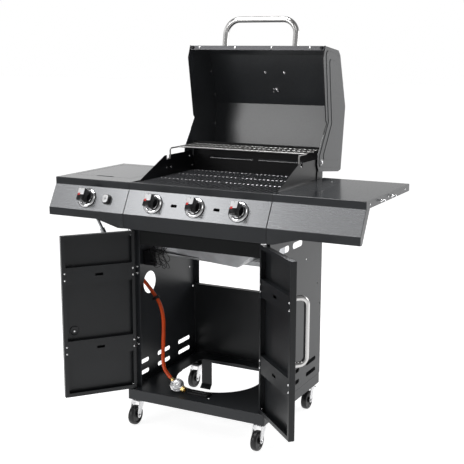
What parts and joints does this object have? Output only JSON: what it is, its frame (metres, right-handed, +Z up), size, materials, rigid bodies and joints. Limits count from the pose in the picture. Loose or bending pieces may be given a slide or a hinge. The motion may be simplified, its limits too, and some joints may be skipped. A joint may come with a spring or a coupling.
{
  "type": "gas barbecue grill",
  "caption": "Gas barbecue with a hinged lid, a control console, two side shelves and a two-door cabinet on swivel casters, shown with lid and doors open.",
  "frame": {"origin": "on the floor, below the middle of the object's outline with lid and doors open as at rest", "axes": "+X to the grill's right seen from the front, +Y from front to back, +Z up"},
  "size_m": [1.286, 0.9236, 1.5471],
  "materials": {
    "charcoal_paint": "satin powder coat",
    "shelf_paint": "satin powder coat",
    "door_paint": "satin powder coat",
    "lid_enamel": "gloss enamel",
    "console_steel": "satin",
    "hopper_steel": "galvanised",
    "bright_chrome": "polished",
    "grate_iron": "matt",
    "burner_steel": "plain",
    "brass_fittings": "machined",
    "knob_plastic": "fine grained",
    "button_plastic": "smooth",
    "black_plastic": "plain",
    "hose_rubber": "smooth orange",
    "regulator_alloy": "die cast",
    "zinc_plate": "zinc plated",
    "wheel_tyre": "smooth"
  },
  "bodies": {
    "cart": {"base_tray": "charcoal_paint", "left_side_panel": "charcoal_paint", "right_side_panel": "charcoal_paint", "back_panel": "charcoal_paint", "front_rail": "charcoal_paint", "cylinder_retainer": "black_plastic", "cylinder_strap": "door_paint", "main_fascia": "charcoal_paint", "main_control_panel": "console_steel", "left_shelf": "shelf_paint", "left_control_panel": "console_steel", "right_shelf": "shelf_paint", "right_front_panel": "console_steel", "knob_bezels": "bright_chrome", "tool_hooks": "zinc_plate", "side_burner": "charcoal_paint", "firebox_left_wall": "lid_enamel", "firebox_right_wall": "lid_enamel", "firebox_shell": "hopper_steel", "lid_hinge_brackets": "door_paint", "burners": "burner_steel", "emitters": "burner_steel", "grate_left": "grate_iron", "grate_right": "grate_iron", "warming_rack": "bright_chrome", "gas_manifold": "burner_steel", "igniter_module": "black_plastic", "gas_hose": "hose_rubber", "regulator": "regulator_alloy", "door_hinge_pins": "zinc_plate"},
    "lid": {"lid_shell": "lid_enamel", "lid_left_side": "lid_enamel", "lid_right_side": "lid_enamel", "lid_handle": "bright_chrome", "lid_thermometer": "bright_chrome"},
    "left_door": {"left_door": "door_paint", "left_door_handle": "bright_chrome"},
    "right_door": {"right_door": "door_paint", "right_door_handle": "bright_chrome"},
    "side_burner_lid": {"side_burner_lid": "shelf_paint"},
    "grease_tray": {"grease_tray": "hopper_steel"},
    "ignition_button": {"ignition_button": "button_plastic"},
    "plug_left": {"valve_plug_left": "brass_fittings"},
    "knob_left": {"knob_left": "knob_plastic"},
    "plug_burner_left": {"valve_plug_burner_left": "brass_fittings"},
    "knob_burner_left": {"knob_burner_left": "knob_plastic"},
    "plug_burner_middle": {"valve_plug_burner_middle": "brass_fittings"},
    "knob_burner_middle": {"knob_burner_middle": "knob_plastic"},
    "plug_burner_right": {"valve_plug_burner_right": "brass_fittings"},
    "knob_burner_right": {"knob_burner_right": "knob_plastic"},
    "caster_front_left": {"fork_front_left": "zinc_plate"},
    "wheel_front_left": {"wheel_front_left": "wheel_tyre"},
    "caster_front_right": {"fork_front_right": "zinc_plate"},
    "wheel_front_right": {"wheel_front_right": "wheel_tyre"},
    "caster_rear_left": {"fork_rear_left": "zinc_plate"},
    "wheel_rear_left": {"wheel_rear_left": "wheel_tyre"},
    "caster_rear_right": {"fork_rear_right": "zinc_plate"},
    "wheel_rear_right": {"wheel_rear_right": "wheel_tyre"},
    "brake_rear_left": {"brake_pedal_rear_left": "black_plastic"},
    "brake_rear_right": {"brake_pedal_rear_right": "black_plastic"}
  },
  "joints": [
    {"name": "lid_hinge", "type": "hinge", "parent": "cart", "child": "lid", "pos_m": [0, 0.2152, 0.9965], "axis": [1, 0, 0], "range_deg": [0, 98.7]},
    {"name": "left_door_hinge", "type": "hinge", "parent": "cart", "child": "left_door", "pos_m": [-0.275, -0.252, 0.45], "axis": [0, 0, 1], "range_deg": [0, 129]},
    {"name": "right_door_hinge", "type": "hinge", "parent": "cart", "child": "right_door", "pos_m": [0.275, -0.252, 0.45], "axis": [0, 0, -1], "range_deg": [0, 137]},
    {"name": "side_lid_hinge", "type": "hinge", "parent": "cart", "child": "side_burner_lid", "pos_m": [-0.479, 0.1975, 0.9305], "axis": [-1, 0, 0], "range_deg": [0, 88]},
    {"name": "grease_tray_slide", "type": "slide", "parent": "cart", "child": "grease_tray", "axis": [0, 1, 0], "range_m": [0, 0.11]},
    {"name": "ignition_push", "type": "slide", "parent": "cart", "child": "ignition_button", "axis": [0, 0.8756, -0.4831], "range_m": [0, 0.003], "stiffness_N_per_m": 900, "springref_m": -0.003},
    {"name": "turn_left", "type": "hinge", "parent": "cart", "child": "plug_left", "pos_m": [-0.471, -0.22174, 0.85001], "axis": [0, -0.8756, 0.4831], "range_deg": [0, 170]},
    {"name": "push_left", "type": "slide", "parent": "plug_left", "child": "knob_left", "axis": [0, 0.8756, -0.4831], "range_m": [0, 0.003], "stiffness_N_per_m": 900, "springref_m": -0.003},
    {"name": "turn_burner_left", "type": "hinge", "parent": "cart", "child": "plug_burner_left", "pos_m": [-0.176, -0.22174, 0.85001], "axis": [0, -0.8756, 0.4831], "range_deg": [0, 170]},
    {"name": "push_burner_left", "type": "slide", "parent": "plug_burner_left", "child": "knob_burner_left", "axis": [0, 0.8756, -0.4831], "range_m": [0, 0.003], "stiffness_N_per_m": 900, "springref_m": -0.003},
    {"name": "turn_burner_middle", "type": "hinge", "parent": "cart", "child": "plug_burner_middle", "pos_m": [0, -0.22174, 0.85001], "axis": [0, -0.8756, 0.4831], "range_deg": [0, 170]},
    {"name": "push_burner_middle", "type": "slide", "parent": "plug_burner_middle", "child": "knob_burner_middle", "axis": [0, 0.8756, -0.4831], "range_m": [0, 0.003], "stiffness_N_per_m": 900, "springref_m": -0.003},
    {"name": "turn_burner_right", "type": "hinge", "parent": "cart", "child": "plug_burner_right", "pos_m": [0.176, -0.22174, 0.85001], "axis": [0, -0.8756, 0.4831], "range_deg": [0, 170]},
    {"name": "push_burner_right", "type": "slide", "parent": "plug_burner_right", "child": "knob_burner_right", "axis": [0, 0.8756, -0.4831], "range_m": [0, 0.003], "stiffness_N_per_m": 900, "springref_m": -0.003},
    {"name": "swivel_front_left", "type": "hinge", "parent": "cart", "child": "caster_front_left", "pos_m": [-0.261, -0.244, 0.099], "axis": [0, 0, 1], "continuous": true},
    {"name": "roll_front_left", "type": "hinge", "parent": "caster_front_left", "child": "wheel_front_left", "pos_m": [-0.261, -0.262, 0.0375], "axis": [1, 0, 0], "continuous": true},
    {"name": "swivel_front_right", "type": "hinge", "parent": "cart", "child": "caster_front_right", "pos_m": [0.261, -0.244, 0.099], "axis": [0, 0, 1], "continuous": true},
    {"name": "roll_front_right", "type": "hinge", "parent": "caster_front_right", "child": "wheel_front_right", "pos_m": [0.261, -0.262, 0.0375], "axis": [1, 0, 0], "continuous": true},
    {"name": "swivel_rear_left", "type": "hinge", "parent": "cart", "child": "caster_rear_left", "pos_m": [-0.261, 0.211, 0.099], "axis": [0, 0, 1], "continuous": true},
    {"name": "roll_rear_left", "type": "hinge", "parent": "caster_rear_left", "child": "wheel_rear_left", "pos_m": [-0.261, 0.193, 0.0375], "axis": [1, 0, 0], "continuous": true},
    {"name": "swivel_rear_right", "type": "hinge", "parent": "cart", "child": "caster_rear_right", "pos_m": [0.261, 0.211, 0.099], "axis": [0, 0, 1], "continuous": true},
    {"name": "roll_rear_right", "type": "hinge", "parent": "caster_rear_right", "child": "wheel_rear_right", "pos_m": [0.261, 0.193, 0.0375], "axis": [1, 0, 0], "continuous": true},
    {"name": "brake_rear_left", "type": "hinge", "parent": "caster_rear_left", "child": "brake_rear_left", "pos_m": [-0.261, 0.223, 0.082], "axis": [-1, 0, 0], "range_deg": [0, 14]},
    {"name": "brake_rear_right", "type": "hinge", "parent": "caster_rear_right", "child": "brake_rear_right", "pos_m": [0.261, 0.223, 0.082], "axis": [-1, 0, 0], "range_deg": [0, 14]}
  ]
}
